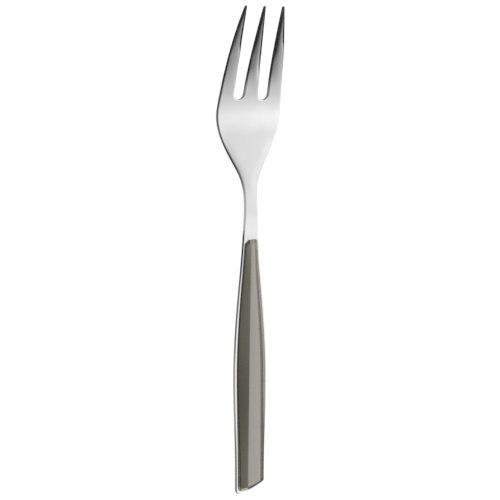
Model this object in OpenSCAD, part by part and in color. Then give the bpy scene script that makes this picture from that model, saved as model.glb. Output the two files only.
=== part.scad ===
// Three-tined pastry fork: a stamped steel blank whose handle carries a faceted
// moulded cover, bonded into a shallow coined pocket.
// X runs across the fork, Y along it with the tines at +Y, Z up from the table.
// The origin lies on the table under the middle of the fork.

/* [Overall] */
// Length of the fork along the table
fork_length = 155; // [140:0.5:170]

/* [Blank thickness] */
// Thickness of the handle plate
handle_t = 1.5; // [1.3:0.05:2.2]
// Thickness at the neck and the bowl
neck_t = 1.8; // [1.4:0.05:2.4]
// Thickness where the tines begin
root_t = 1.9; // [1.4:0.05:2.4]
// Thickness at the tips
tip_t = 1.2; // [0.8:0.05:1.8]

/* [Side profile] */
// Rise of the handle plate from its end to the neck
handle_rise = 2.5; // [0.5:0.05:4]
// Height of the neck's crest above the table, at mid thickness
crest_h = 3.85; // [2.8:0.05:7]
// Height of the tine roots above the table, at mid thickness
root_h = 4.1; // [3:0.05:6]
// Height of the tips above the table, at mid thickness
tip_h = 18.2; // [12:0.1:20]
// Share of the way from the handle plate to the bowl where the crest lies
crest_share = 0.25; // [0.15:0.01:0.45]
// Distance of the bowl's lowest point from the tips
bowl_from_tips = 41; // [36:0.5:45]
// Slope of the tines at their roots, in degrees
root_slope = 23; // [15:0.5:30]
// Slope of the tines at their tips, in degrees
tip_slope = 30; // [20:0.5:36]

/* [Head outline] */
// Width of the head at its widest
head_w = 21; // [18:0.1:26]
// Distance of the widest point from the tips
head_from_tips = 33; // [31:0.5:36]
// Width over the tine roots
root_w = 20.14; // [18:0.1:25]
// Distance of the tine roots from the tips
root_from_tips = 27; // [22:0.5:29.5]
// Width of the middle tine at its root
mid_tine_w = 4.34; // [3:0.1:5]
// Width of each slot at its round bottom
slot_w = 3.76; // [2.5:0.1:4]
// Spacing of the tips, centre to centre
tip_pitch = 6.3; // [5:0.1:7]
// Width of a tine at its rounded tip
tip_w = 0.6; // [0.4:0.05:1.2]
// How far each side of a tine bows out halfway along it
tine_bow = 0.2; // [0:0.05:0.35]
// Width of the shoulder where it is steepest
shoulder_w = 8.7; // [7:0.1:10]
// Distance of that place from the tips
shoulder_from_tips = 50.5; // [47:0.5:53]
// Flare of the shoulder on each side, in degrees
shoulder_flare = 27.5; // [20:0.5:35]

/* [Neck and handle outline] */
// Width of the neck at its narrowest
neck_w = 3.92; // [3:0.1:5.5]
// Distance of the narrowest place from the tips
neck_from_tips = 60; // [58:0.5:64]
// Width of the handle where it flares most
flare_w = 7.15; // [6:0.1:8]
// Distance of that place from the handle's end
flare_from_end = 67.5; // [60:0.5:72]
// Flare of the handle there on each side, in degrees
handle_flare = 5.6; // [2:0.1:8]
// Width of the handle at its widest
belly_w = 10.7; // [9:0.1:14]
// Distance of the widest place from the handle's end
belly_from_end = 37.5; // [30:0.5:45]
// Width of the handle near its end
butt_w = 9.2; // [8.5:0.1:13]
// Distance of that place from the handle's end
butt_from_end = 5.5; // [5:0.1:9]
// How far the end sweeps up from its left corner to its right one
end_sweep = 4.2; // [2.5:0.1:5]
// Power of that rise: at 1 it runs straight, above 1 it steepens to the right
end_power = 1.5; // [1.2:0.05:2.5]
// Radius of the end's left corner
end_corner_r = 1.3; // [1:0.05:1.8]

/* [Pocket and bond] */
// Depth of the coined pocket in the handle
pocket_depth = 0.6; // [0.4:0.05:0.8]
// Steel rim beside the cover at its neck end
rim_neck = 0.32; // [0.25:0.01:0.6]
// Steel rim left of the cover at the handle's widest
rim_belly_left = 0.65; // [0.4:0.01:1.2]
// Steel rim left of the cover near the handle's end
rim_butt_left = 0.55; // [0.4:0.01:0.9]
// Steel rim right of the cover at the handle's widest
rim_belly_right = 0.32; // [0.25:0.01:1.2]
// Steel rim right of the cover near the handle's end
rim_butt_right = 0.27; // [0.25:0.01:0.9]
// Steel rim round the handle's end
rim_end = 0.95; // [0.6:0.05:1.6]
// Gap between the cover and the pocket's wall
side_gap = 0.05; // [0.02:0.01:0.1]
// Thickness of the adhesive film
film_t = 0.1; // [0.06:0.01:0.2]
// Margin of bare floor round the film
film_margin = 0.35; // [0.2:0.05:0.8]

/* [Cover] */
// Distance of the cover's neck end from the handle's end
cover_reach = 81.6; // [78:0.1:82.5]
// Length of the diagonal cut at the cover's upper left corner
corner_cut = 1.5; // [0.6:0.1:2]
// Height of the ridge over the plate at the neck end
ridge_h_neck = 1.15; // [0.9:0.05:2.2]
// Height of the ridge over the plate at the handle's widest
ridge_h_belly = 2; // [1.2:0.05:3]
// Height of the ridge over the plate at the handle's end
ridge_h_butt = 2.05; // [1.2:0.05:3]
// Ridge left of the fork's middle at the neck end
ridge_x_neck = 0.2; // [0:0.05:0.6]
// Ridge left of the fork's middle at the handle's widest
ridge_x_belly = 1.05; // [0:0.05:1.6]
// Ridge left of the fork's middle at the handle's end
ridge_x_butt = 1.3; // [0:0.05:1.6]
// Fall of the right slope from the ridge to its chamfer
slope_fall = 0.15; // [0.05:0.01:0.4]
// Width of the right chamfer with its strip at the neck end
chamfer_w_neck = 1.05; // [0.8:0.05:1.2]
// Width of both where the handle flares most
chamfer_w_flare = 1.8; // [1.4:0.05:2]
// Width of both at the handle's widest
chamfer_w_belly = 2.3; // [1.8:0.05:2.6]
// Width of both at the handle's end
chamfer_w_butt = 1.6; // [1:0.05:1.8]
// Slope of the right chamfer at the neck end, in degrees
chamfer_slope_neck = 19; // [15:0.5:30]
// Slope of the right chamfer at the handle's widest, in degrees
chamfer_slope_belly = 25; // [15:0.5:30]
// Slope of the right chamfer at the handle's end, in degrees
chamfer_slope_butt = 27; // [20:0.5:36]
// Width of the steeper strip along the right edge at the neck end
right_strip_w_neck = 0.4; // [0.2:0.05:0.5]
// Width of that strip where the handle flares most
right_strip_w_flare = 0.8; // [0.2:0.05:0.9]
// Width of that strip at the handle's widest
right_strip_w_belly = 1.2; // [0.2:0.05:1.3]
// Width of that strip at the handle's end
right_strip_w_butt = 0.4; // [0.2:0.05:0.6]
// Slope of that strip, in degrees
right_strip_slope = 38; // [30:0.5:45]
// Height of the left slope's foot over the plate at the neck end
left_edge_h_neck = 0.65; // [0.4:0.05:0.8]
// Height of the left slope's foot over the plate at the handle's widest
left_edge_h_belly = 0.4; // [0.4:0.05:0.9]
// Height of the left slope's foot over the plate at the handle's end
left_edge_h_butt = 1.05; // [0.4:0.05:1.2]
// Width of the steep strip along the left edge
left_strip_w = 0.3; // [0.15:0.05:0.5]
// Drop of that strip
left_strip_drop = 0.33; // [0.15:0.01:0.38]
// How far the cover's own end sweeps up from left to right
cover_sweep = 3.6; // [2:0.1:4.5]
// Length of the bevel at the left of that end
end_bevel_left = 0.8; // [0.5:0.05:1.6]
// Length of the bevel at the right of that end
end_bevel_right = 0.65; // [0.4:0.05:1.6]
// Length of the bevel at the cover's neck end
neck_bevel = 1.1; // [0.5:0.05:1.6]
// Drop of that bevel at its left
end_drop_left = 0.7; // [0.2:0.05:0.8]
// Drop of that bevel at its right
end_drop_right = 0.15; // [0.1:0.05:0.6]
// Share of its height that the cover keeps at least over that bevel
end_edge_share = 0.25; // [0.1:0.05:0.6]
// Share of its height that it keeps at the neck end
neck_edge_share = 0.7; // [0.4:0.05:0.9]

/* [Hidden] */

overrun = 3;
$fn = 48;

// Steps of the sampled curves
side_steps = 7;
profile_steps = 9;
arc_steps = 8;
tine_steps = 7;
cover_steps = 22;

// Lines across the fork
tip_y = fork_length / 2;
end_y = -fork_length / 2;
bowl_y = tip_y - bowl_from_tips;
root_y = tip_y - root_from_tips;
head_y = tip_y - head_from_tips;
shoulder_y = tip_y - shoulder_from_tips;
neck_y = tip_y - neck_from_tips;
flare_y = end_y + flare_from_end;
belly_y = end_y + belly_from_end;
butt_y = end_y + butt_from_end;
cover_top_y = end_y + cover_reach;
plate_top_y = cover_top_y + rim_neck;
crest_y = plate_top_y + (bowl_y - plate_top_y) * crest_share;
tip_r = tip_w / 2;
tip_centre_y = tip_y - tip_r;
slot_r = slot_w / 2;

// The handle plate is flat and leans by this slope
plate_run = plate_top_y - end_y;
plate_slope = handle_rise / plate_run;
plate_tilt = atan(plate_slope);
plate_mid_h = handle_t / 2 / cos(plate_tilt);

// Smooth curve through stations given as [place, value, slope]
function hermite(a, b, y) =
    let (run = b[0] - a[0], u = (y - a[0]) / run)
    a[1] * (2 * u * u * u - 3 * u * u + 1)
    + a[2] * run * (u * u * u - 2 * u * u + u)
    + b[1] * (3 * u * u - 2 * u * u * u)
    + b[2] * run * (u * u * u - u * u);

function hermite_slope(a, b, y) =
    let (run = b[0] - a[0], u = (y - a[0]) / run)
    (a[1] - b[1]) * (6 * u * u - 6 * u) / run
    + a[2] * (3 * u * u - 4 * u + 1)
    + b[2] * (3 * u * u - 2 * u);

function span_at(stations, y, i = 0) =
    i >= len(stations) - 2 || y <= stations[i + 1][0] ? i : span_at(stations, y, i + 1);

function curve_at(stations, y) =
    let (i = span_at(stations, y))
    hermite(stations[i], stations[i + 1], y);

function slope_at(stations, y) =
    let (i = span_at(stations, y))
    hermite_slope(stations[i], stations[i + 1], y);

function spread(stations, steps) =
    [for (i = [0 : len(stations) - 2], k = [0 : steps - 1])
        stations[i][0] + (stations[i + 1][0] - stations[i][0]) * k / steps];

function arc(centre, r, from, to, steps = arc_steps) =
    [for (k = [0 : steps])
        let (a = from + (to - from) * k / steps)
        [centre[0] + r * cos(a), centre[1] + r * sin(a)]];

function mix(a, b, share) = a + (b - a) * share;

function reversed(points) = [for (i = [len(points) - 1 : -1 : 0]) points[i]];

function mirrored(points) = [for (p = reversed(points)) [-p[0], p[1]]];

// Half width of the blank along the fork. The shares set how steeply the side
// runs past the tine roots and into the tips, against the mean slope there.
root_turn_share = 0.7;
tip_turn_share = 1.6;
width_stations = [
    [butt_y, butt_w / 2, 0],
    [belly_y, belly_w / 2, 0],
    [flare_y, flare_w / 2, -tan(handle_flare)],
    [neck_y, neck_w / 2, 0],
    [shoulder_y, shoulder_w / 2, tan(shoulder_flare)],
    [head_y, head_w / 2, 0],
    [root_y, root_w / 2, -(head_w - root_w) / (head_from_tips - root_from_tips) * root_turn_share],
    [tip_centre_y, tip_pitch + tip_r, -(root_w / 2 - tip_pitch - tip_r) / root_from_tips * tip_turn_share]
];

// Bow of a tine's side, which fades out at its root and its tip
function bow_at(y) =
    let (share = (y - root_y) / (tip_centre_y - root_y))
    4 * tine_bow * max(share * (1 - share), 0);

function half_w(y) = y < butt_y ? butt_w / 2 : curve_at(width_stations, y) + bow_at(y);

// Mid height of the blank along the fork
height_stations = [
    [plate_top_y, plate_mid_h + handle_rise, plate_slope],
    [crest_y, crest_h, 0],
    [bowl_y, neck_t / 2, 0],
    [root_y, root_h, tan(root_slope)],
    [tip_y, tip_h, tan(tip_slope)]
];

function mid_h(y) =
    y < plate_top_y ? plate_mid_h + plate_slope * (y - end_y)
    : curve_at(height_stations, y);

function mid_slope(y) = y < plate_top_y ? plate_slope : slope_at(height_stations, y);

thickness_stations = [
    [plate_top_y, handle_t],
    [crest_y, neck_t],
    [bowl_y, neck_t],
    [root_y, root_t],
    [tip_y, tip_t]
];

// Point of the blank's side view, up or down by half its thickness
function face_point(y, side) =
    let (tilt = atan(mid_slope(y)), t = lookup(y, thickness_stations))
    [y - side * t / 2 * sin(tilt), mid_h(y) + side * t / 2 * cos(tilt)];

profile_ys = concat([end_y - overrun], spread(height_stations, profile_steps), [tip_y, tip_y + overrun]);

function profile_point(y, side) =
    y > tip_y
    ? let (p = face_point(tip_y, side)) [p[0] + overrun, p[1] + overrun * tan(tip_slope)]
    : face_point(y, side);

profile_outline = concat(
    [for (y = profile_ys) profile_point(y, -1)],
    reversed([for (y = profile_ys) profile_point(y, 1)])
);

// Swept end of a handle outline that reaches left and right of the middle, from
// its left corner to its right one, which lies higher by sweep
function end_rise(share) = pow(max(share, 0), end_power);

function swept_end(left, right, corner, sweep, y0) =
    concat(
        arc([corner - left, y0 + corner], corner, 180, 270, arc_steps / 2),
        [for (k = [1 : arc_steps])
            let (share = k / arc_steps)
            [mix(corner - left, right, share), y0 + sweep * end_rise(share)]]
    );

// Points between the two ends of a tine's side, bowed out to the right or left
function bowed_side(from, to, turn) =
    [for (k = [1 : tine_steps - 1])
        let (p = mix(from, to, k / tine_steps))
        [p[0] + turn * bow_at(p[1]), p[1]]];

// Blank seen from above
side_ys = [for (y = spread(width_stations, side_steps)) if (y > end_y + end_sweep) y];
tip_side = [for (y = side_ys) [half_w(y), y]];
slot_x = mid_tine_w / 2 + slot_r;
right_edge = concat(
    tip_side,
    arc([tip_pitch, tip_centre_y], tip_r, 0, 180),
    bowed_side([tip_pitch - tip_r, tip_centre_y], [slot_x + slot_r, root_y], -1),
    arc([slot_x, root_y], slot_r, 0, -180),
    bowed_side([slot_x - slot_r, root_y], [tip_r, tip_centre_y], 1)
);
middle_tip = arc([0, tip_centre_y], tip_r, 0, 180);
blank_outline = concat(
    right_edge,
    middle_tip,
    mirrored(right_edge),
    swept_end(butt_w / 2, butt_w / 2, end_corner_r, end_sweep, end_y)
);

// Rims between the blank's sides and the pocket
left_rim_stations = [
    [butt_y, rim_butt_left, 0],
    [belly_y, rim_belly_left, 0],
    [plate_top_y, rim_neck, 0]
];
right_rim_stations = [
    [butt_y, rim_butt_right, 0],
    [belly_y, rim_belly_right, 0],
    [plate_top_y, rim_neck, 0]
];

function rim_w(stations, y) = y < butt_y ? stations[0][1] : curve_at(stations, y);

// Reach of the cover to both sides of the fork's middle, less a margin
function left_w(y, margin = 0) = half_w(y) - rim_w(left_rim_stations, y) - margin;

function right_w(y, margin = 0) = half_w(y) - rim_w(right_rim_stations, y) - margin;

// Outline of the cover or the pocket, less a margin
function seat_outline(margin) =
    let (top = cover_top_y - margin,
         ys = [for (y = spread(left_rim_stations, cover_steps / 2))
                  if (y > end_y + rim_end + cover_sweep && y < top - corner_cut) y])
    concat(
        swept_end(left_w(butt_y, margin), right_w(butt_y, margin), end_corner_r - rim_butt_left,
                  cover_sweep, end_y + rim_end + margin),
        [for (y = ys) [right_w(y, margin), y]],
        [[right_w(top, margin), top],
         [corner_cut - left_w(top, margin), top],
         [-left_w(top - corner_cut, margin), top - corner_cut]],
        [for (y = reversed(ys)) [-left_w(y, margin), y]]
    );

// Frame of the leaning handle plate: its underside is the plane z = 0
module on_plate() {
    translate([0, end_y, 0])
        rotate([plate_tilt, 0, 0])
            translate([0, -end_y, 0])
                children();
}

module blank_slab() {
    intersection() {
        linear_extrude(height = tip_h + overrun)
            polygon(blank_outline);
        rotate([90, 0, 90])
            linear_extrude(height = head_w + overrun, center = true)
                polygon(profile_outline);
    }
}

module fork_blank() {
    color("gainsboro")
        difference() {
            blank_slab();
            on_plate()
                translate([0, 0, handle_t - pocket_depth])
                    linear_extrude(height = pocket_depth + overrun)
                        polygon(seat_outline(0));
        }
}

module bond_film() {
    color("beige")
        on_plate()
            translate([0, 0, handle_t - pocket_depth])
                linear_extrude(height = film_t)
                    polygon(seat_outline(film_margin));
}

// Cover's upper surface: rails run along the fork, and each is worked out
// from the cover's width at the place along it
ridge_x_stations = [[butt_y, ridge_x_butt], [belly_y, ridge_x_belly], [cover_top_y, ridge_x_neck]];
ridge_h_stations = [[butt_y, ridge_h_butt], [belly_y, ridge_h_belly], [cover_top_y, ridge_h_neck]];
left_edge_stations = [
    [butt_y, left_edge_h_butt],
    [belly_y, left_edge_h_belly],
    [cover_top_y, left_edge_h_neck]
];
chamfer_w_stations = [
    [butt_y, chamfer_w_butt],
    [belly_y, chamfer_w_belly],
    [flare_y, chamfer_w_flare],
    [cover_top_y, chamfer_w_neck]
];
chamfer_slope_stations = [
    [butt_y, chamfer_slope_butt],
    [belly_y, chamfer_slope_belly],
    [cover_top_y, chamfer_slope_neck]
];
right_strip_stations = [
    [butt_y, right_strip_w_butt],
    [belly_y, right_strip_w_belly],
    [flare_y, right_strip_w_flare],
    [cover_top_y, right_strip_w_neck]
];
slope_rail_shares = [0, 1 / 3, 2 / 3];
chamfer_rail_shares = [0, 1 / 2, 1];

// Rails across the cover at one place, as [across, height over the plate]
function rails(y) =
    let (left = left_w(y, side_gap),
         right = right_w(y, side_gap),
         ridge = [-lookup(y, ridge_x_stations), lookup(y, ridge_h_stations)],
         strip = [left_strip_w - left, lookup(y, left_edge_stations)],
         edge = [right - lookup(y, chamfer_w_stations), ridge[1] - slope_fall],
         rim_x = right - lookup(y, right_strip_stations),
         rim = [rim_x, edge[1] - (rim_x - edge[0]) * tan(lookup(y, chamfer_slope_stations))])
    concat(
        [[-left, strip[1] - left_strip_drop]],
        [for (share = slope_rail_shares) mix(strip, ridge, share)],
        [for (share = slope_rail_shares) mix(ridge, edge, share)],
        [for (share = chamfer_rail_shares) mix(edge, rim, share)],
        [[right, rim[1] - (right - rim_x) * tan(right_strip_slope)]]
    );

// Where a rail that lies at x starts, on the swept end
function rail_start(x) =
    let (left = left_w(butt_y, side_gap),
         corner = end_corner_r - rim_butt_left,
         run = x + left - corner,
         y0 = end_y + rim_end + side_gap)
    run < 0
    ? y0 + corner - sqrt(max(corner * corner - run * run, 0))
    : y0 + cover_sweep * end_rise(run / (left + right_w(butt_y, side_gap) - corner));

// Where it stops, on the neck end with its corner cut off
function rail_stop(x) =
    let (top = cover_top_y - side_gap)
    min(top, top - corner_cut + x + left_w(top, side_gap));

butt_rails = rails(butt_y);
neck_rails = rails(cover_top_y);
rail_count = len(butt_rails);
last_step = cover_steps + 2;

function rail_share(i) = i / (rail_count - 1);

function rail_y(i, k) =
    let (a = rail_start(butt_rails[i][0]),
         b = rail_stop(neck_rails[i][0]),
         end_bevel = mix(end_bevel_left, end_bevel_right, rail_share(i)))
    k == 0 ? a
    : k == last_step ? b
    : mix(a + end_bevel, b - neck_bevel, (k - 1) / cover_steps);

function cover_point(i, k) =
    let (y = rail_y(i, k),
         p = rails(y)[i],
         end_drop = mix(end_drop_left, end_drop_right, rail_share(i)),
         h = k == 0 ? max(p[1] - end_drop, p[1] * end_edge_share)
             : k == last_step ? p[1] * neck_edge_share
             : p[1])
    [p[0], y, handle_t + h];

cover_floor = handle_t - pocket_depth + film_t;

function on_floor(p) = [p[0], p[1], cover_floor];

function two_triangles(a, b, c, d) = [[a, b, c], [a, c, d]];

// Closed shell over a grid of n points across and m points along, the upper
// surface first and the flat underside after it
function shell_faces(n, m) =
    let (lower = n * m)
    [for (quad = concat(
        [for (k = [0 : m - 2], i = [0 : n - 2])
            let (a = k * n + i)
            [a, a + n, a + n + 1, a + 1]],
        [for (k = [0 : m - 2], i = [0 : n - 2])
            let (a = lower + k * n + i)
            [a, a + 1, a + n + 1, a + n]],
        [for (k = [0 : m - 2])
            let (a = k * n)
            [a + n, a, lower + a, lower + a + n]],
        [for (k = [0 : m - 2])
            let (a = k * n + n - 1)
            [a, a + n, lower + a + n, lower + a]],
        [for (i = [0 : n - 2])
            [i, i + 1, lower + i + 1, lower + i]],
        [for (i = [0 : n - 2])
            let (a = (m - 1) * n + i)
            [a + 1, a, lower + a, lower + a + 1]]
    )) each two_triangles(quad[0], quad[1], quad[2], quad[3])];

cover_points = [for (k = [0 : last_step], i = [0 : rail_count - 1]) cover_point(i, k)];

module handle_cover() {
    color("dimgray")
        on_plate()
            polyhedron(
                points = concat(cover_points, [for (p = cover_points) on_floor(p)]),
                faces = shell_faces(rail_count, last_step + 1)
            );
}

fork_blank();
bond_film();
handle_cover();
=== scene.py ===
"""Pastry fork of polished steel with a faceted cover inlaid in its handle.

The steel blank and the cover are modelled again as finer meshes in the places
of their CAD solids. The adhesive film keeps its CAD solid. Shapes are worked
out in millimetres and scaled to metres when a mesh is finished.
"""
import logging
import math
from dataclasses import dataclass, field
from enum import Enum
from functools import cache

import bmesh
import bpy
from mathutils import Matrix, Vector


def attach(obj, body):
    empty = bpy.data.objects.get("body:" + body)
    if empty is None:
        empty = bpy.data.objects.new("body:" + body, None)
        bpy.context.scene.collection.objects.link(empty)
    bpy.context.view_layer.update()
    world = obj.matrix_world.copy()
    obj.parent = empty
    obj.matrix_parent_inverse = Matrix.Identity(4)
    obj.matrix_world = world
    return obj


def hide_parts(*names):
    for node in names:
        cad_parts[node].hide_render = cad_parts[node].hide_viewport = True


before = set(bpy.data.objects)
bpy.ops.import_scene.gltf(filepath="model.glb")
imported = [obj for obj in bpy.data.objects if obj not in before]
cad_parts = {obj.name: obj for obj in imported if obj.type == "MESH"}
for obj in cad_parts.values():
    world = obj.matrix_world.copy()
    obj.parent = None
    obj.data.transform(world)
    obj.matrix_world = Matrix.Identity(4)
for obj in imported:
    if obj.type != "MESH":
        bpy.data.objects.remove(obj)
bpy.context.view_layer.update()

LOG = logging.getLogger("pastry_fork")
MM = 0.001
LEVEL = "level"
SHARP_ANGLE = 42.0
FINE_RELIEF = 0.02 * MM

Socket = bpy.types.NodeSocket
Points = tuple[tuple[float, float], ...]
Colour = tuple[float, float, float, float]


def mix(a: float, b: float, share: float) -> float:
    """Returns the value a share of the way from a to b."""
    return a + (b - a) * share


def smooth_share(value: float, low: float, high: float) -> float:
    """Returns a share that eases from 0 where the value is low to 1 where it is high."""
    u = min(max((value - low) / (high - low), 0.0), 1.0)
    return u * u * (3 - 2 * u)


def rise(degrees: float) -> float:
    """Returns the rise for each unit of run on a slope of some degrees."""
    return math.tan(math.radians(degrees))


def grey(level: float) -> Colour:
    """Returns the grey of a level."""
    return (level, level, level, 1.0)


@dataclass(frozen=True)
class Station:
    """One place on a curve, with the value and the slope there."""

    place: float
    value: float
    slope: float = 0.0


class SmoothCurve:
    """Curve that passes smoothly through its stations and is level outside."""

    def __init__(self, *stations: tuple[float, ...]) -> None:
        """Keeps the stations, each given as its place, its value and its slope unless it is level."""
        self.stations = [Station(*station) for station in stations]

    def _span(self, place: float) -> tuple[Station, Station, float, float]:
        """Returns the two stations round a place, its share between them and their distance."""
        pairs = list(zip(self.stations, self.stations[1:]))
        a, b = next((pair for pair in pairs if place <= pair[1].place), pairs[-1])
        run = b.place - a.place
        return a, b, min(max((place - a.place) / run, 0.0), 1.0), run

    def at(self, place: float) -> float:
        """Returns the curve's value at a place."""
        a, b, u, run = self._span(place)
        return (a.value * (2 * u**3 - 3 * u**2 + 1) + a.slope * run * (u**3 - 2 * u**2 + u)
                + b.value * (3 * u**2 - 2 * u**3) + b.slope * run * (u**3 - u**2))

    def slope_at(self, place: float) -> float:
        """Returns the curve's slope at a place."""
        a, b, u, run = self._span(place)
        return ((a.value - b.value) * (6 * u**2 - 6 * u) / run
                + a.slope * (3 * u**2 - 4 * u + 1) + b.slope * (3 * u**2 - 2 * u))


@dataclass
class ForkSizes:
    """The fork's main sizes in millimetres, the same as in the part's source."""

    length: float = 155.0
    handle_t: float = 1.5
    neck_t: float = 1.8
    root_t: float = 1.9
    tip_t: float = 1.2
    handle_rise: float = 2.5
    crest_h: float = 3.85
    root_h: float = 4.1
    tip_h: float = 18.2
    crest_share: float = 0.25
    bowl_from_tips: float = 41.0
    root_slope: float = 23.0
    tip_slope: float = 30.0
    head_w: float = 21.0
    head_from_tips: float = 33.0
    root_w: float = 20.14
    root_from_tips: float = 27.0
    mid_tine_w: float = 4.34
    slot_w: float = 3.76
    tip_pitch: float = 6.3
    tip_w: float = 0.6
    tine_bow: float = 0.2
    shoulder_w: float = 8.7
    shoulder_from_tips: float = 50.5
    shoulder_flare: float = 27.5
    neck_w: float = 3.92
    neck_from_tips: float = 60.0
    flare_w: float = 7.15
    flare_from_end: float = 67.5
    handle_flare: float = 5.6
    belly_w: float = 10.7
    belly_from_end: float = 37.5
    butt_w: float = 9.2
    butt_from_end: float = 5.5
    end_sweep: float = 4.2
    end_power: float = 1.5
    cover_sweep: float = 3.6
    end_corner_r: float = 1.3
    cover_reach: float = 81.6
    pocket_depth: float = 0.6
    film_t: float = 0.1
    side_gap: float = 0.05
    rim_neck: float = 0.32
    rim_belly_left: float = 0.65
    rim_butt_left: float = 0.55
    rim_belly_right: float = 0.32
    rim_butt_right: float = 0.27
    rim_end: float = 0.95

    def __post_init__(self) -> None:
        """Works out places along the fork, the slots' place across it and the slope of the handle plate."""
        self.tip_y = self.length / 2
        self.end_y = -self.length / 2
        self.root_y = self.tip_y - self.root_from_tips
        self.cover_top_y = self.end_y + self.cover_reach
        self.plate_top_y = self.cover_top_y + self.rim_neck
        self.butt_y = self.end_y + self.butt_from_end
        self.belly_y = self.end_y + self.belly_from_end
        self.slot_x = (self.mid_tine_w + self.slot_w) / 2
        self.plate_slope = self.handle_rise / (self.plate_top_y - self.end_y)


@dataclass
class ForkShape:
    """Outline, side view and rims of the fork as functions of the place along it."""

    sizes: ForkSizes
    root_turn_share: float = 0.7
    tip_turn_share: float = 1.6

    def __post_init__(self) -> None:
        """Sets up the curves."""
        s = self.sizes
        tip_r = s.tip_w / 2
        tine_turn = (s.root_w / 2 - s.tip_pitch - tip_r) / s.root_from_tips
        head_turn = (s.head_w - s.root_w) / (s.head_from_tips - s.root_from_tips)
        self.width = SmoothCurve(
            (s.butt_y, s.butt_w / 2), (s.belly_y, s.belly_w / 2),
            (s.end_y + s.flare_from_end, s.flare_w / 2, -rise(s.handle_flare)),
            (s.tip_y - s.neck_from_tips, s.neck_w / 2),
            (s.tip_y - s.shoulder_from_tips, s.shoulder_w / 2, rise(s.shoulder_flare)),
            (s.tip_y - s.head_from_tips, s.head_w / 2),
            (s.root_y, s.root_w / 2, -head_turn * self.root_turn_share),
            (s.tip_y - tip_r, s.tip_pitch + tip_r, -tine_turn * self.tip_turn_share))
        bowl_y = s.tip_y - s.bowl_from_tips
        crest_y = mix(s.plate_top_y, bowl_y, s.crest_share)
        self.plate_mid = s.handle_t / 2 * math.hypot(1, s.plate_slope)
        self.height = SmoothCurve(
            (s.plate_top_y, self.plate_mid + s.handle_rise, s.plate_slope), (crest_y, s.crest_h),
            (bowl_y, s.neck_t / 2), (s.root_y, s.root_h, rise(s.root_slope)),
            (s.tip_y, s.tip_h, rise(s.tip_slope)))
        self.thickness = SmoothCurve(
            (s.plate_top_y, s.handle_t), (crest_y, s.neck_t), (bowl_y, s.neck_t), (s.root_y, s.root_t),
            (s.tip_y, s.tip_t))
        self.left_rim, self.right_rim = (
            SmoothCurve((s.butt_y, butt), (s.belly_y, belly), (s.plate_top_y, s.rim_neck))
            for butt, belly in ((s.rim_butt_left, s.rim_belly_left), (s.rim_butt_right, s.rim_belly_right)))

    def face_z(self, y: float, side: int) -> float:
        """Gives the height of the blank's upper or lower face.

        Args:
            y: The place along the fork.
            side: 1 for the upper face and -1 for the lower one.

        Returns:
            The height over the table.
        """
        s = self.sizes
        middle, slope = self.height.at(y), self.height.slope_at(y)
        if y < s.plate_top_y:
            middle, slope = self.plate_mid + s.plate_slope * (y - s.end_y), s.plate_slope
        return middle + side * self.thickness.at(y) / 2 * math.hypot(1, slope)

    def bow(self, share: float) -> float:
        """Returns how far a tine's side bows out a share of the way to its tip."""
        return 4 * self.sizes.tine_bow * share * (1 - share)

    def swept_y(self, x: float, left: float, right: float, corner: float, start: float,
                sweep: float) -> float:
        """Gives where a swept end lies at a place across the handle.

        Args:
            x: The place across the handle.
            left: How far the swept outline reaches left of the middle.
            right: How far it reaches right of the middle.
            corner: Radius of its left corner.
            start: Its lowest place along the fork.
            sweep: How much higher its right corner lies.

        Returns:
            The place along the fork where the outline begins at x.
        """
        run = x + left - corner
        if run < 0:
            return start + corner - math.sqrt(max(corner**2 - run**2, 0.0))
        return start + sweep * (run / (left + right - corner)) ** self.sizes.end_power

    def on_plate(self, x: float, y: float, z: float) -> Vector:
        """Returns a point that is given in the leaning handle plate's frame."""
        s = self.sizes
        tilt, run = math.atan(s.plate_slope), y - s.end_y
        return Vector((x, s.end_y + run * math.cos(tilt) - z * math.sin(tilt),
                       run * math.sin(tilt) + z * math.cos(tilt)))


class Effect(Enum):
    """Surface effects that the finishes share, each one a node group."""

    MOTTLE = "soft_mottling"
    SCRATCH = "fine_scratches"
    SIDES = "upright_sides"
    # Mask for the steel's dark edge lines of painted shade.
    EDGES = "painted_edge_shade"


# Each effect's inputs, and pairs of values between which a mask rises from none to full.
EFFECT_INPUTS: dict[Effect, dict[str, float]] = {
    Effect.MOTTLE: {"Scale": 200.0},
    Effect.SCRATCH: {"Across": 3000.0, "Along": 120.0, "Rarity": 0.6},
    Effect.SIDES: {"Start": 0.75, "Full": 0.35},
    Effect.EDGES: {"From": 0.057, "Full": 0.064, "Slots": 0.0474, "Reach": 0.003},
}
MOTTLE_SPAN = (0.3, 0.7)
SCRATCH_FADE = 0.12
TURNED_RIGHT = (0.11, 0.24)
TURNED_TO_TIPS = (-0.2, 0.05)
OFF_THE_LEFT = (-0.85, -0.55)
TURNED_UP = (-0.1, 0.1)


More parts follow.
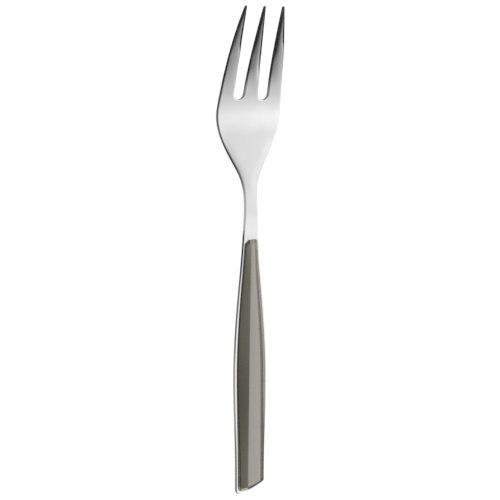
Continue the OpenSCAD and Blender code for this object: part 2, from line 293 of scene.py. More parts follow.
@dataclass
class Graph:
    """Short way to place and join the nodes of one node tree."""

    tree: bpy.types.NodeTree

    def feed(self, node: bpy.types.Node, inputs: dict) -> None:
        """Feeds a node.

        Args:
            node: The node.
            inputs: Output sockets to join to its inputs or values to set there, by name or number.
        """
        for name, value in inputs.items():
            if isinstance(value, Socket):
                self.tree.links.new(value, node.inputs[name])
            else:
                node.inputs[name].default_value = value

    def add(self, kind: str, inputs: dict | None = None, **settings: object) -> bpy.types.Node:
        """Places a node.

        Args:
            kind: The node's type name.
            inputs: Values or output sockets for its inputs, by name or number.
            settings: Properties of the node.

        Returns:
            The new node.
        """
        node = self.tree.nodes.new(kind)
        for name, value in settings.items():
            setattr(node, name, value)
        self.feed(node, inputs or {})
        return node

    def math(self, operation: str, *values: object) -> Socket:
        """Places a Math node and returns its output."""
        return self.add("ShaderNodeMath", dict(enumerate(values)), operation=operation).outputs[0]

    def span(self, value: object, low: object, high: object, **settings: object) -> Socket:
        """Places a Map Range node from 0 at low to 1 at high and returns its output."""
        inputs = {"Value": value, "From Min": low, "From Max": high}
        return self.add("ShaderNodeMapRange", inputs, **settings).outputs["Result"]

    def ramp(self, value: object, low: object, high: object) -> Socket:
        """Places such a node that eases at both ends and returns its output."""
        return self.span(value, low, high, interpolation_type="SMOOTHSTEP")

    def levels(self, value: object, stops: Points) -> Socket:
        """Places a ramp of grey levels.

        Args:
            value: What the ramp goes by.
            stops: Values with their levels.

        Returns:
            The ramp's colour.
        """
        low, high = stops[0][0], stops[-1][0]
        node = self.add("ShaderNodeValToRGB", {"Fac": self.span(value, low, high)})
        for place, _ in stops[1:-1]:
            node.color_ramp.elements.new((place - low) / (high - low))
        for element, (_, level) in zip(node.color_ramp.elements, stops):
            element.color = grey(level)
        return node.outputs["Color"]

    def blend(self, share: object, a: object, b: object) -> Socket:
        """Places a colour Mix node and returns its output."""
        return self.add("ShaderNodeMix", {0: share, 6: a, 7: b}, data_type="RGBA").outputs[2]

    def noise(self, vector: Socket, scale: object, **inputs: float) -> Socket:
        """Places a Noise node and returns its value."""
        return self.add("ShaderNodeTexNoise", {"Vector": vector, "Scale": scale, **inputs}).outputs["Fac"]

    def bump(self, height: Socket, strength: float, distance: float = FINE_RELIEF) -> Socket:
        """Places a Bump node and returns its normal."""
        inputs = {"Height": height, "Strength": strength, "Distance": distance}
        return self.add("ShaderNodeBump", inputs).outputs[0]

    def coords(self, kind: str) -> Socket:
        """Places a Texture Coordinate node and returns one kind of coordinates."""
        return self.add("ShaderNodeTexCoord").outputs[kind]

    def axes(self, kind: str) -> tuple[Socket, ...]:
        """Returns the X, Y and Z of one kind of coordinates."""
        return tuple(self.add("ShaderNodeSeparateXYZ", {0: self.coords(kind)}).outputs)

    def effect(self, effect: Effect, **values: float) -> Socket:
        """Places a shared effect with its own values and returns its mask."""
        return self.add("ShaderNodeGroup", values, node_tree=effect_group(effect)).outputs[0]


@cache
def effect_group(effect: Effect) -> bpy.types.NodeTree:
    """Builds the node group of an effect, once.

    Args:
        effect: The effect.

    Returns:
        The group.
    """
    tree = bpy.data.node_groups.new(effect.value, "ShaderNodeTree")
    for name, value in EFFECT_INPUTS[effect].items():
        tree.interface.new_socket(name, in_out="INPUT", socket_type="NodeSocketFloat").default_value = value
    tree.interface.new_socket("Mask", in_out="OUTPUT", socket_type="NodeSocketFloat")
    graph = Graph(tree)
    given = graph.add("NodeGroupInput").outputs
    if effect is Effect.MOTTLE:
        noise = graph.noise(graph.coords("Object"), given["Scale"], Detail=4.0, Roughness=0.55)
        mask = graph.span(noise, *MOTTLE_SPAN)
    elif effect is Effect.SCRATCH:
        scales = {"X": given["Across"], "Y": given["Along"], "Z": given["Across"]}
        stretch = graph.add("ShaderNodeCombineXYZ", scales).outputs[0]
        stretched = {0: graph.coords("Object"), 1: stretch}
        place = graph.add("ShaderNodeVectorMath", stretched, operation="MULTIPLY").outputs[0]
        noise = graph.noise(place, 1.0, Detail=2.0, Distortion=0.3)
        mask = graph.span(noise, given["Rarity"], graph.math("ADD", given["Rarity"], SCRATCH_FADE))
    elif effect is Effect.SIDES:
        mask = graph.span(graph.math("ABSOLUTE", graph.axes("Normal")[2]), given["Start"], given["Full"])
    else:
        # Mask of painted shade: upward bevels near the tips that turn right, and bevels at the slot bottoms
        # that turn towards the tips, get dark lines.
        facing_x, facing_y, facing_z = graph.axes("Normal")
        along = graph.axes("Object")[1]
        right = graph.math("MULTIPLY", graph.ramp(facing_x, *TURNED_RIGHT),
                           graph.ramp(along, given["From"], given["Full"]))
        below = graph.math("MULTIPLY", graph.ramp(facing_y, *TURNED_TO_TIPS),
                           graph.ramp(facing_x, *OFF_THE_LEFT))
        ends = graph.math("MULTIPLY", below, graph.math("COMPARE", along, given["Slots"], given["Reach"]))
        mask = graph.math("MULTIPLY", graph.math("MAXIMUM", right, ends),
                          graph.ramp(facing_z, *TURNED_UP))
    graph.add("NodeGroupOutput", {"Mask": mask})
    return tree


@dataclass(frozen=True)
class Finish:
    """A finish with its own material."""

    name: str
    slot: str

    def dress(self, graph: Graph) -> dict[str, object]:
        """Makes what feeds the shader. Each finish has its own way.

        Args:
            graph: The material's graph.

        Returns:
            Sockets and values by the names of the shader's inputs.
        """
        return {}

    def build(self) -> bpy.types.Material:
        """Builds the material.

        Returns:
            The new material.
        """
        material = bpy.data.materials.new(self.name)
        material.use_nodes = True
        graph = Graph(material.node_tree)
        graph.feed(material.node_tree.nodes["Principled BSDF"], self.dress(graph))
        return material


@dataclass(frozen=True)
class PolishedSteel(Finish):
    """Polished stainless steel, duller on the sheared sides, with painted shade and painted reflection in its
    colour.

    The faces, sides and slots have their grey levels by the place along the fork. These levels paint light
    and shade where the reflections are lighter or darker. The sides are darkened as painted shade, and the
    bevels that face right or towards the tips get dark lines of painted shade.
    """

    name: str = "polished_steel"
    slot: str = "polished_steel"
    faces: Points = (
        (-0.078, 0.86), (-0.004, 0.78), (0.003, 0.745), (0.017, 0.735), (0.024, 0.7), (0.078, 0.7))
    sides: Points = (
        (-0.078, 0.22), (-0.062, 0.24), (-0.055, 0.42), (-0.036, 0.42), (-0.028, 0.24), (-0.012, 0.22),
        (-0.004, 0.04), (0.005, 0.05), (0.0075, 0.62), (0.0165, 0.62), (0.022, 0.3), (0.027, 0.05),
        (0.032, 0.05), (0.038, 0.18), (0.046, 0.16), (0.0515, 0.1), (0.0555, 0.03), (0.078, 0.03))
    slots: Points = (
        (0.0, 0.3), (0.05, 0.3), (0.0512, 0.42), (0.0526, 0.34), (0.0545, 0.12), (0.057, 0.04), (0.07, 0.03),
        (0.078, 0.03))
    slots_from: float = 0.0475
    outer_from: float = 0.0078
    # Grey of the dark lines of painted shade on the bevels.
    edge: float = 0.03
    tint: float = 0.45
    cloudiness: float = 0.07
    roughness: float = 0.17
    cloud_rough: float = 0.04
    scratch_rough: float = 0.05
    side_rough: float = 0.4
    scratch_relief: float = -0.5
    relief: float = 0.05

    def dress(self, graph: Graph) -> dict[str, object]:
        """Makes what feeds the shader.

        Args:
            graph: The material's graph.

        Returns:
            Sockets and values by the names of the shader's inputs.
        """
        clouds = graph.effect(Effect.MOTTLE, Scale=90.0)
        fine = graph.effect(Effect.MOTTLE, Scale=1400.0)
        scratches = graph.effect(Effect.SCRATCH, Across=2600.0, Along=90.0, Rarity=0.62)
        sides = graph.effect(Effect.SIDES, Start=0.84, Full=0.45)
        edges = graph.effect(Effect.EDGES)
        across, along, _ = graph.axes("Object")
        # Grey of the faces by the place along the fork, dimmed a little by the mottle: painted light and
        # shade of the reflections.
        painted_face_light = graph.math("MULTIPLY", graph.levels(along, self.faces),
                                graph.math("MULTIPLY_ADD", clouds, -self.cloudiness, 1.0))
        outer = graph.math("GREATER_THAN", graph.math("ABSOLUTE", across), self.outer_from)
        in_slots = graph.math("MULTIPLY", graph.math("GREATER_THAN", along, self.slots_from),
                              graph.math("SUBTRACT", 1.0, outer))
        # Grey of the sides and slot walls by the place along the fork: painted shade and painted reflection.
        painted_side_shade = graph.blend(in_slots, graph.levels(along, self.sides), graph.levels(along, self.slots))
        rough = graph.math("MULTIPLY_ADD", clouds, self.cloud_rough, self.roughness)
        rough = graph.math("MULTIPLY_ADD", scratches, self.scratch_rough, rough)
        relief = graph.math("MULTIPLY_ADD", scratches, self.scratch_relief, fine)
        # The sides' grey and the dark edge lines go into the colour as painted shade.
        return {
            "Base Color": graph.blend(edges, graph.blend(sides, painted_face_light, painted_side_shade), grey(self.edge)),
            "Roughness": graph.math("MULTIPLY_ADD", sides, self.side_rough, rough),
            "Normal": graph.bump(relief, self.relief),
            "Metallic": 1.0,
            "Specular Tint": grey(self.tint)}


@dataclass(frozen=True)
class PearlCover(Finish):
    """Glossy moulded cover in taupe grey with a metallic pearl in it, with painted shade on its bevelled end,
    where its colour and coat are darkened.

    Each pair holds the values between which the end's painted shade rises from none to full.
    """

    name: str = "pearl_cover"
    slot: str = "cover_plastic"
    tone: Colour = (0.128, 0.112, 0.056, 1.0)
    tone_dim: Colour = (0.117, 0.103, 0.051, 1.0)
    # Colour of the painted shade on the bevelled end.
    end_painted_shade: Colour = grey(0.01)
    tint: Colour = (1.0, 0.975, 0.92, 1.0)
    end_along: tuple[float, float] = (-0.067, -0.07)
    end_slant: tuple[float, float] = (0.64, 0.79)
    butt_along: tuple[float, float] = (-0.0716, -0.0732)
    butt_gain: float = 0.75
    ior: float = 2.75
    coat: float = 0.74
    coat_at_end: float = -0.5
    coat_ior: float = 1.8
    coat_rough: float = 0.14
    roughness: float = 0.24
    cloud_rough: float = 0.04
    scratch_rough: float = 0.08
    relief: float = 0.06

    def dress(self, graph: Graph) -> dict[str, object]:
        """Makes what feeds the shader.

        Args:
            graph: The material's graph.

        Returns:
            Sockets and values by the names of the shader's inputs.
        """
        clouds = graph.effect(Effect.MOTTLE, Scale=120.0)
        peel = graph.effect(Effect.MOTTLE, Scale=1100.0)
        scratches = graph.effect(Effect.SCRATCH, Across=1500.0, Along=200.0, Rarity=0.66)
        facing_x, facing_y, _ = graph.axes("Normal")
        along = graph.axes("Object")[1]
        # Mask of the painted shade on the bevelled end, where the colour and the coat are darkened.
        gain = graph.math("MULTIPLY_ADD", graph.ramp(along, *self.butt_along), self.butt_gain, 1.0)
        slant = graph.math("SUBTRACT", graph.math("MULTIPLY", facing_x, gain), facing_y)
        end = graph.math("MULTIPLY", graph.ramp(along, *self.end_along), graph.ramp(slant, *self.end_slant))
        rough = graph.math("MULTIPLY_ADD", clouds, self.cloud_rough, self.roughness)
        return {
            "Base Color": graph.blend(end, graph.blend(clouds, self.tone, self.tone_dim), self.end_painted_shade),
            "Roughness": graph.math("MULTIPLY_ADD", scratches, self.scratch_rough, rough),
            "Coat Weight": graph.math("MULTIPLY_ADD", end, self.coat_at_end, self.coat),
            "Normal": graph.bump(peel, self.relief),
            "IOR": self.ior,
            "Specular Tint": self.tint,
            "Coat IOR": self.coat_ior,
            "Coat Roughness": self.coat_rough}


@dataclass(frozen=True)
class CuredAdhesive(Finish):
    """Cured adhesive with small bubbles and cloudy spots."""

    name: str = "cured_adhesive"
    slot: str = "adhesive"
    clear: Colour = (0.66, 0.60, 0.47, 1.0)
    cloudy: Colour = (0.50, 0.45, 0.35, 1.0)
    bubble_scale: float = 700.0
    bubble_edge: tuple[float, float] = (0.12, 0.2)
    roughness: float = 0.3
    cloud_rough: float = 0.2
    relief: float = 0.3
    relief_depth: float = 0.05 * MM

    def dress(self, graph: Graph) -> dict[str, object]:
        """Makes what feeds the shader.

        Args:
            graph: The material's graph.

        Returns:
            Sockets and values by the names of the shader's inputs.
        """
        clouds = graph.effect(Effect.MOTTLE, Scale=260.0)
        place = {"Vector": graph.coords("Object"), "Scale": self.bubble_scale}
        bubbles = graph.ramp(graph.add("ShaderNodeTexVoronoi", place).outputs["Distance"], *self.bubble_edge)
        return {
            "Base Color": graph.blend(clouds, self.clear, self.cloudy),
            "Roughness": graph.math("MULTIPLY_ADD", clouds, self.cloud_rough, self.roughness),
            "Normal": graph.bump(bubbles, self.relief, self.relief_depth)}


def grid_mesh(columns: int, rows: int) -> tuple[bmesh.types.BMesh, dict[tuple[int, int], bmesh.types.BMVert]]:
    """Makes a flat grid and numbers its points.

    Args:
        columns: Cells across.
        rows: Cells along.

    Returns:
        The bmesh, and its points by column and row.
    """
    bm = bmesh.new()
    bm.verts.layers.int.new(LEVEL)
    bmesh.ops.create_grid(bm, x_segments=columns, y_segments=rows, size=1.0)
    points = {(round((vert.co.x + 1) / 2 * columns), round((vert.co.y + 1) / 2 * rows)): vert
              for vert in bm.verts}
    return bm, points


def extrude_all(bm: bmesh.types.BMesh) -> list[bmesh.types.BMVert]:
    """Extrudes all faces of a bmesh and returns the new points, which lie on the old ones."""
    made = bmesh.ops.extrude_face_region(bm, geom=bm.faces[:], use_keep_orig=True)["geom"]
    return [item for item in made if isinstance(item, bmesh.types.BMVert)]


def round_edges(bm: bmesh.types.BMesh, edges: list[bmesh.types.BMEdge], width: float, segments: int) -> None:
    """Rounds some edges of a bmesh. Its faces have to look outward for that, so they are turned first."""
    bmesh.ops.recalc_face_normals(bm, faces=bm.faces[:])
    bmesh.ops.bevel(bm, geom=edges, offset=width, offset_type="OFFSET", segments=segments, profile=0.5,
                    affect="EDGES", material=-1, loop_slide=True)


def shade(mesh: bpy.types.Mesh) -> None:
    """Shades a mesh smooth, with its sharp edges crisp."""
    mesh.shade_smooth()
    mesh.set_sharp_from_angle(angle=math.radians(SHARP_ANGLE))


def finish_mesh(name: str, bm: bmesh.types.BMesh) -> bpy.types.Object:
    """Scales a bmesh to metres and makes an object of it.

    Args:
        name: The piece's name.
        bm: The finished bmesh in millimetres, which is freed.

    Returns:
        The new object, linked to the scene.
    """
    bmesh.ops.recalc_face_normals(bm, faces=bm.faces[:])
    bmesh.ops.scale(bm, vec=(MM, MM, MM), verts=bm.verts[:])
    mesh = bpy.data.meshes.new(name)
    bm.to_mesh(mesh)
    bm.free()
    shade(mesh)
    piece = bpy.data.objects.new(name, mesh)
    bpy.context.scene.collection.objects.link(piece)
    return piece


@dataclass
class CoverPlan:
    """Place of the cover's grid points in the handle plate's frame.

    A place across runs from -1 at the left edge to 1 at the right edge, and each
    place across is a line of points along the handle.
    """

    shape: ForkShape
    margin: float
    corner_cut: float = 1.5
    notch: float = 0.32
    notch_at: float = -0.08
    notch_w: float = 0.3
    corner_round: float = 0.45
    corner_from: float = 0.7

    def left(self, y: float) -> float:
        """Returns how far the plan reaches left of the fork's middle."""
        return self.shape.width.at(y) - self.shape.left_rim.at(y) - self.margin

    def right(self, y: float) -> float:
        """Returns how far the plan reaches right of the fork's middle."""
        return self.shape.width.at(y) - self.shape.right_rim.at(y) - self.margin

    def place(self, across: float, y: float) -> float:
        """Returns how far across the handle a line of points lies at y."""
        return mix(-self.left(y), self.right(y), (across + 1) / 2)

    def point(self, across: float, along: float) -> tuple[float, float]:
        """Returns the place of a point a share of the way along its line."""
        y = mix(self.start(across), self.stop(across), along)
        return self.place(across, y), y

    def start(self, across: float) -> float:
        """Returns where the swept end lies on a line of points."""
        s = self.shape.sizes
        return self.shape.swept_y(
            self.place(across, s.butt_y), self.left(s.butt_y), self.right(s.butt_y),
            s.end_corner_r - s.rim_butt_left, s.end_y + s.rim_end + self.margin, s.cover_sweep)

    def stop(self, across: float) -> float:
        """Returns where the neck end, with its corner cut off, lies on a line of points."""
        top = self.shape.sizes.cover_top_y - self.margin
        notch = self.notch * max(1 - abs(across - self.notch_at) / self.notch_w, 0.0)
        corner = self.corner_round * max((across - self.corner_from) / (1 - self.corner_from), 0.0) ** 2
        return min(top - notch - corner, top - self.corner_cut + self.place(across, top) + self.left(top))


@dataclass(frozen=True)
class Course:
    """A measure of the cover at its butt, its belly, its flare if it turns there, and its neck."""

    butt: float
    belly: float
    neck: float
    flare: float | None = None

    def curve(self, s: ForkSizes) -> SmoothCurve:
        """Makes the measure's curve along the cover.

        Args:
            s: The fork's sizes.

        Returns:
            The curve.
        """
        flare_y = s.end_y + s.flare_from_end
        if self.flare is None:
            fall = (self.neck - self.belly) / (s.cover_top_y - s.belly_y)
            return SmoothCurve((s.butt_y, self.butt), (s.belly_y, self.belly, fall / 2),
                               (s.cover_top_y, self.neck, fall))
        before = (self.flare - self.belly) / (flare_y - s.belly_y)
        fall = (self.neck - self.flare) / (s.cover_top_y - flare_y)
        return SmoothCurve((s.butt_y, self.butt), (s.belly_y, self.belly),
                           (flare_y, self.flare, (before + fall) / 2), (s.cover_top_y, self.neck, fall))


@dataclass
class HandleCover:
    """Faceted cover: a steep strip, two slopes, a chamfer and bevelled ends."""

    shape: ForkShape
    finish: Finish
    ridge_x: Course = Course(1.3, 1.05, 0.2)
    ridge_h: Course = Course(2.05, 2.0, 1.15)
    left_edge: Course = Course(1.05, 0.4, 0.65, flare=0.46)
    chamfer_w: Course = Course(1.48, 2.3, 1.05, flare=1.8)
    outer_w: Course = Course(0.4, 1.2, 0.72, flare=1.15)
    chamfer_slope: Course = Course(27.0, 25.0, 19.0)
    outer_slope: Course = Course(32.0, 38.0, 38.0)
    columns: int = 76
    rows: int = 170
    end_cells: int = 22
    end_zone: float = 2.2
    strip_w: float = 0.3
    strip_drop: float = 0.33
    slope_fall: float = 0.15
    bevel_left: float = 1.05
    bevel_right: float = 0.8
    end_drop_left: float = 0.8
    end_drop_right: float = 0.4
    end_edge_share: float = 0.25
    neck_bevel: float = 1.1
    neck_edge_share: float = 0.7
    left_bulge: float = 0.02
    right_bulge: float = 0.05
    softness: float = 0.022
    arris: float = 0.08
    arris_steps: int = 2

    def __post_init__(self) -> None:
        """Sets up the plan and the curves of all courses."""
        s = self.shape.sizes
        self.plan = CoverPlan(self.shape, s.side_gap)
        courses = {name: value for name, value in vars(self).items() if isinstance(value, Course)}
        self.curves = {name: course.curve(s) for name, course in courses.items()}

    def height(self, across: float, x: float, y: float) -> float:
        """Gives the height of the cover over the plate, as the soft lowest of its facets.

        Args:
            across: The line of points, from -1 to 1.
            x: The place across the handle.
            y: The place along it.

        Returns:
            The height over the plate.
        """
        at = {name: curve.at(y) for name, curve in self.curves.items()}
        ridge_x, ridge_h, foot = -at["ridge_x"], at["ridge_h"], at["left_edge"]
        chamfer_w, outer_w, chamfer = at["chamfer_w"], at["outer_w"], rise(at["chamfer_slope"])
        left, right = self.plan.left(y), self.plan.right(y)
        in_left, in_right = x + left, right - x
        edge_h = ridge_h - self.slope_fall
        left_share = (in_left - self.strip_w) / (ridge_x + left - self.strip_w)
        right_share = (x - ridge_x) / (right - chamfer_w - ridge_x)
        outer_h = edge_h - chamfer * (chamfer_w - outer_w)
        slopes = (
            foot - self.strip_drop * (1 - in_left / self.strip_w),
            mix(foot, ridge_h, left_share) + self.bulge(self.left_bulge, left_share),
            mix(ridge_h, edge_h, right_share) + self.bulge(self.right_bulge, right_share),
        )
        section = self.lowest(
            *slopes, edge_h - chamfer * (chamfer_w - in_right),
            outer_h - rise(at["outer_slope"]) * (outer_w - in_right))
        to_right = (across + 1) / 2
        bevel = mix(self.bevel_left, self.bevel_right, to_right)
        end_drop = mix(self.end_drop_left, self.end_drop_right, to_right)
        drop = min(end_drop, section * (1 - self.end_edge_share))
        return self.lowest(
            section, self.lowest(*slopes) - drop * (1 - (y - self.plan.start(across)) / bevel),
            section * mix(self.neck_edge_share, 1.0, (self.plan.stop(across) - y) / self.neck_bevel))

    def bulge(self, height: float, share: float) -> float:
        """Returns how far a slope bulges a share of the way across it."""
        return 4 * height * max(share * (1 - share), 0.0)

    def lowest(self, *heights: float) -> float:
        """Returns the lowest of some heights, rounded off where two of them meet."""
        low = min(heights)
        return low - self.softness * math.log(sum(math.exp((low - h) / self.softness) for h in heights))

    def row_share(self, j: int) -> float:
        """Gives the share along the cover of a row. The rows lie closer at both ends.

        Args:
            j: The row.

        Returns:
            The share.
        """
        zone = self.end_zone / self.shape.sizes.cover_reach
        if j <= self.end_cells:
            return zone * j / self.end_cells
        if j >= self.rows - self.end_cells:
            return 1 - zone * (self.rows - j) / self.end_cells
        return mix(zone, 1 - zone, (j - self.end_cells) / (self.rows - 2 * self.end_cells))

    def build(self) -> bpy.types.Object:
        """Builds and dresses the cover.

        Returns:
            The finished piece.
        """
        s = self.shape.sizes
        bm, points = grid_mesh(self.columns, self.rows)
        floor = s.handle_t - s.pocket_depth + s.film_t
        below = {}
        for (i, j), vert in points.items():
            across = 2 * i / self.columns - 1
            x, y = self.plan.point(across, self.row_share(j))
            vert.co = self.shape.on_plate(x, y, s.handle_t + self.height(across, x, y))
            below[vert.index] = self.shape.on_plate(x, y, floor)
        rim = [edge for edge in bm.edges if edge.is_boundary]
        for vert, index in zip(extrude_all(bm), sorted(below)):
            vert.co = below[index]
        round_edges(bm, rim, self.arris, self.arris_steps)
        piece = finish_mesh("handle_cover_dressed", bm)
        piece.data.materials.append(self.finish.build())
        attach(piece, "root")
        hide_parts("handle_cover")
        LOG.info("cover: %d faces", len(piece.data.polygons))
        return piece


@dataclass(frozen=True)
class TineEdges:
    """How far a tine's ground edges fall towards its tip, where they begin, and the crown between them."""

    left: float
    left_from: float
    right: float
    right_from: float
    lean: float
    lean_shift: float
    run: float = 6.0
    left_w: float = 0.75
    right_w: float = 0.5
    most_share: float = 0.45

    def drop(self, from_left: float, from_right: float, y: float) -> float:
        """Gives the drop of a point beside the edges.

        Args:
            from_left: Its distance from the left edge.
            from_right: Its distance from the right edge.
            y: Its place along the fork.

        Returns:
            The drop.
        """
        most = self.most_share * (from_left + from_right)
        drop = 0.0
        for distance, amount, start, reach in ((from_left, self.left, self.left_from, self.left_w),
                                               (from_right, self.right, self.right_from, self.right_w)):
            ground = max(1 - distance / min(reach, most), 0.0)
            drop += amount * smooth_share(y, start, start + self.run) * ground
        return drop


@dataclass
class SteelBlank:
    """The stamped blank: handle plate with its pocket, neck, head and three tines.

    A pair whose name ends in _zone holds two distances before the tips, between
    which something begins or ends.
    """

    shape: ForkShape
    finish: Finish
    tine_cells: int = 6
    gap_cells: int = 8
    handle_rows: int = 40
    neck_rows: int = 70
    end_rows: int = 10
    end_steps: int = 200
    slot_rows: int = 5
    turn_rows: int = 3
    tine_rows: int = 44
    end_zone: float = 9.0
    end_cell: float = 0.55
    slot_zone: float = 3.0
    neck_rows_before: float = 3.0
    edge_cell: float = 0.42
    edge_cell_share: float = 0.34
    arris: float = 0.1
    arris_steps: int = 3
    head_crown: float = 1.7
    shoulder_rolls: tuple[float, float] = (0.4, 0.2)
    shoulder_roll_w: float = 3.0
    shoulder_edge: float = 0.05
    rolled_past_plate: float = 1.0
    rolled_from_tips: float = 50.0
    line_up_zone: tuple[float, float] = (58.0, 33.0)
    crown_end_zone: tuple[float, float] = (29.0, 15.0)
    lean_zone: tuple[float, float] = (28.3, 19.0)
    roll_start_zone: tuple[float, float] = (64.0, 52.0)
    roll_end_zone: tuple[float, float] = (47.0, 38.0)
    tine_edges: tuple[TineEdges, ...] = (
        TineEdges(0.17, 61.0, 0.4, 62.0, 4.5, 0.3, left_w=0.6),
        TineEdges(0.18, 61.0, 0.42, 54.0, 6.5, 0.85, left_w=0.55, right_w=0.52),
        TineEdges(0.27, 59.0, 0.45, 64.0, 8.0, 0.3))
    cutter_cells: tuple[int, int] = (30, 60)
    cutter_h: float = 3.0
    plan: list[list[tuple[float, float]]] = field(default_factory=list)

    @property
    def lanes(self) -> list[tuple[int, int]]:
        """First and last column of each tine and gap, from left to right."""
        ends = [0]
        for cells in (self.tine_cells, self.gap_cells, self.tine_cells, self.gap_cells, self.tine_cells):
            ends.append(ends[-1] + cells)
        return list(zip(ends, ends[1:]))

    @property
    def columns(self) -> int:
        """Cells across the whole blank."""
        return self.lanes[-1][1]

    def spaced(self, low: float, high: float, cells: int) -> list[float]:
        """Spaces points between two edges. The outer cells have a width of their own.

        Args:
            low: The left edge.
            high: The right edge.
            cells: How many cells lie between them.

        Returns:
            The places of the points.
        """
        edge = min(self.edge_cell, self.edge_cell_share * (high - low))
        inner = [mix(low + edge, high - edge, k / (cells - 2)) for k in range(cells - 1)]
        return [low, *inner, high]

    def across(self, inner: float, outer: float, half: float) -> list[float]:
        """Spaces points over the three tines and the gaps between them.

        Args:
            inner: Half width of the middle tine.
            outer: Where an outer tine's inner edge lies.
            half: Half width over all the tines.

        Returns:
            The places of the points.
        """
        left = self.spaced(-half, -outer, self.tine_cells)
        left += [mix(-outer, -inner, k / self.gap_cells) for k in range(1, self.gap_cells)]
        return left + self.spaced(-inner, inner, self.tine_cells) + [-x for x in reversed(left)]

    def eased(self, y: float, zone: tuple[float, float]) -> float:
        """Returns a share that eases from 0 to 1 over a zone."""
        tip_y = self.shape.sizes.tip_y
        return smooth_share(y, tip_y - zone[0], tip_y - zone[1])

    def straight_row(self, y: float) -> list[tuple[float, float]]:
        """Lays out a level row, evenly spaced on the handle and lined up with the tines on the head.

        Args:
            y: Where the row lies.

        Returns:
            The row's points.
        """
        s, half = self.shape.sizes, self.shape.width.at(y)
        reach, scale = s.slot_w / 2 * math.sqrt(0.5), half / (s.root_w / 2)
        lined_up = self.across((s.slot_x - reach) * scale, (s.slot_x + reach) * scale, half)
        share = self.eased(y, self.line_up_zone)
        return [(mix(a, b, share), y) for a, b in zip(self.spaced(-half, half, self.columns), lined_up)]

    def end_block(self, top: float) -> list[list[tuple[float, float]]]:
        """Lays out the rows at the handle's swept end.

        Args:
            top: Where the block meets the straight rows.

        Returns:
            The rows, without the one at the top.
        """
        s = self.shape.sizes
        half, r = s.butt_w / 2, s.end_corner_r
        turn = r * (1 - math.sqrt(0.5))
        corner = Vector((-half + turn, s.end_y + turn))
        dense = [-half + turn + (2 * half - turn) * k / self.end_steps for k in range(self.end_steps + 1)]
        bottom = [Vector((x, self.shape.swept_y(x, half, half, r, s.end_y, s.end_sweep))) for x in dense]
        lengths = [0.0]
        for a, b in zip(bottom, bottom[1:]):
            lengths.append(lengths[-1] + (b - a).length)
        above = self.straight_row(top)
        top_half = above[-1][0]

        def along_bottom(share: float) -> Vector:
            """Returns the point a share of the way along the swept end."""
            goal = share * lengths[-1]
            k = next((n for n in range(1, len(lengths)) if lengths[n] >= goal), len(lengths) - 1)
            return bottom[k - 1].lerp(bottom[k], (goal - lengths[k - 1]) / (lengths[k] - lengths[k - 1]))

        def left_side(share: float) -> Vector:
            """Returns the point a share of the way up the left side, round its corner first."""
            arc = r * math.pi / 4
            run = share * (arc + top - s.end_y - r)
            if run < arc:
                angle = math.pi * 1.25 - run / r
                return Vector((-half + r + r * math.cos(angle), s.end_y + r + r * math.sin(angle)))
            y = s.end_y + r + run - arc
            return Vector((-self.shape.width.at(y), y))

        right_low = bottom[-1]
        top_left, top_right = Vector((-top_half, top)), Vector((top_half, top))
        rows = []
        for j in range(self.end_rows):
            v = mix(self.end_cell / self.end_zone, 1.0, (j - 1) / (self.end_rows - 1)) if j else 0.0
            left, right = left_side(v), right_low.lerp(top_right, v)
            row = []
            for x, _ in above:
                u = (x + top_half) / (2 * top_half)
                flat = (along_bottom(u) * (1 - v) + Vector((x, top)) * v + left * (1 - u) + right * u
                        - (corner * (1 - u) + right_low * u) * (1 - v)
                        - (top_left * (1 - u) + top_right * u) * v)
                row.append((flat.x, flat.y))
            rows.append(row)
        return rows

    def body_ys(self) -> list[float]:
        """Returns where the straight rows lie, closer together on the neck and the head."""
        s = self.shape.sizes
        low, high = s.end_y + self.end_zone, s.root_y - s.slot_w / 2 - self.slot_zone
        bend = s.cover_top_y - self.neck_rows_before
        handle = [mix(low, bend, k / self.handle_rows) for k in range(self.handle_rows)]
        return handle + [mix(bend, high, k / self.neck_rows) for k in range(self.neck_rows + 1)]

    def lay_out(self) -> int:
        """Works out the plan of all the points. Those over the gaps between the tines are placeholders.

        Returns:
            The row at which the gaps begin.
        """
        s = self.shape.sizes
        ys = self.body_ys()
        rows = self.end_block(ys[0]) + [self.straight_row(y) for y in ys]
        base, r = rows[-1], s.slot_w / 2
        turned = []
        for m in range(self.turn_rows + 1):
            turn = math.radians(45 * (1 - m / self.turn_rows))
            y, reach = s.root_y - r * math.sin(turn), r * math.cos(turn)
            xs = self.across(s.slot_x - reach, s.slot_x + reach, self.shape.width.at(y))
            turned.append([(x, y) for x in xs])
        for mid, (first, _) in ((-s.slot_x, self.lanes[1]), (s.slot_x, self.lanes[3])):
            for k in range(1, self.gap_cells):
                angle = math.radians(225 + 90 * k / self.gap_cells)
                turned[0][first + k] = (mid + r * math.cos(angle), s.root_y + r * math.sin(angle))
        for k in range(1, self.slot_rows):
            share = k / self.slot_rows
            rows.append([(mix(a[0], b[0], share), mix(a[1], b[1], share)) for a, b in zip(base, turned[0])])
        slot_row = len(rows)
        rows += turned
        tip_r = s.tip_w / 2
        centre = s.tip_y - tip_r
        for k in range(1, self.tine_rows + 1):
            share = k / self.tine_rows
            y, bow = mix(s.root_y, centre, share), self.shape.bow(share)
            inner, outer = mix(s.mid_tine_w / 2, tip_r, share), mix(s.slot_x + r, s.tip_pitch - tip_r, share)
            rows.append([(x, y) for x in self.across(inner + bow, outer - bow, self.shape.width.at(y) + bow)])
        last = list(rows[-1])
        for mid, (first, end) in zip((-s.tip_pitch, 0.0, s.tip_pitch), self.lanes[::2]):
            for i in range(first, end + 1):
                angle = math.radians(135 - 90 * (i - first) / (end - first))
                last[i] = (mid + tip_r * math.cos(angle), centre + tip_r * math.sin(angle))
        rows.append(last)
        self.plan = rows
        return slot_row

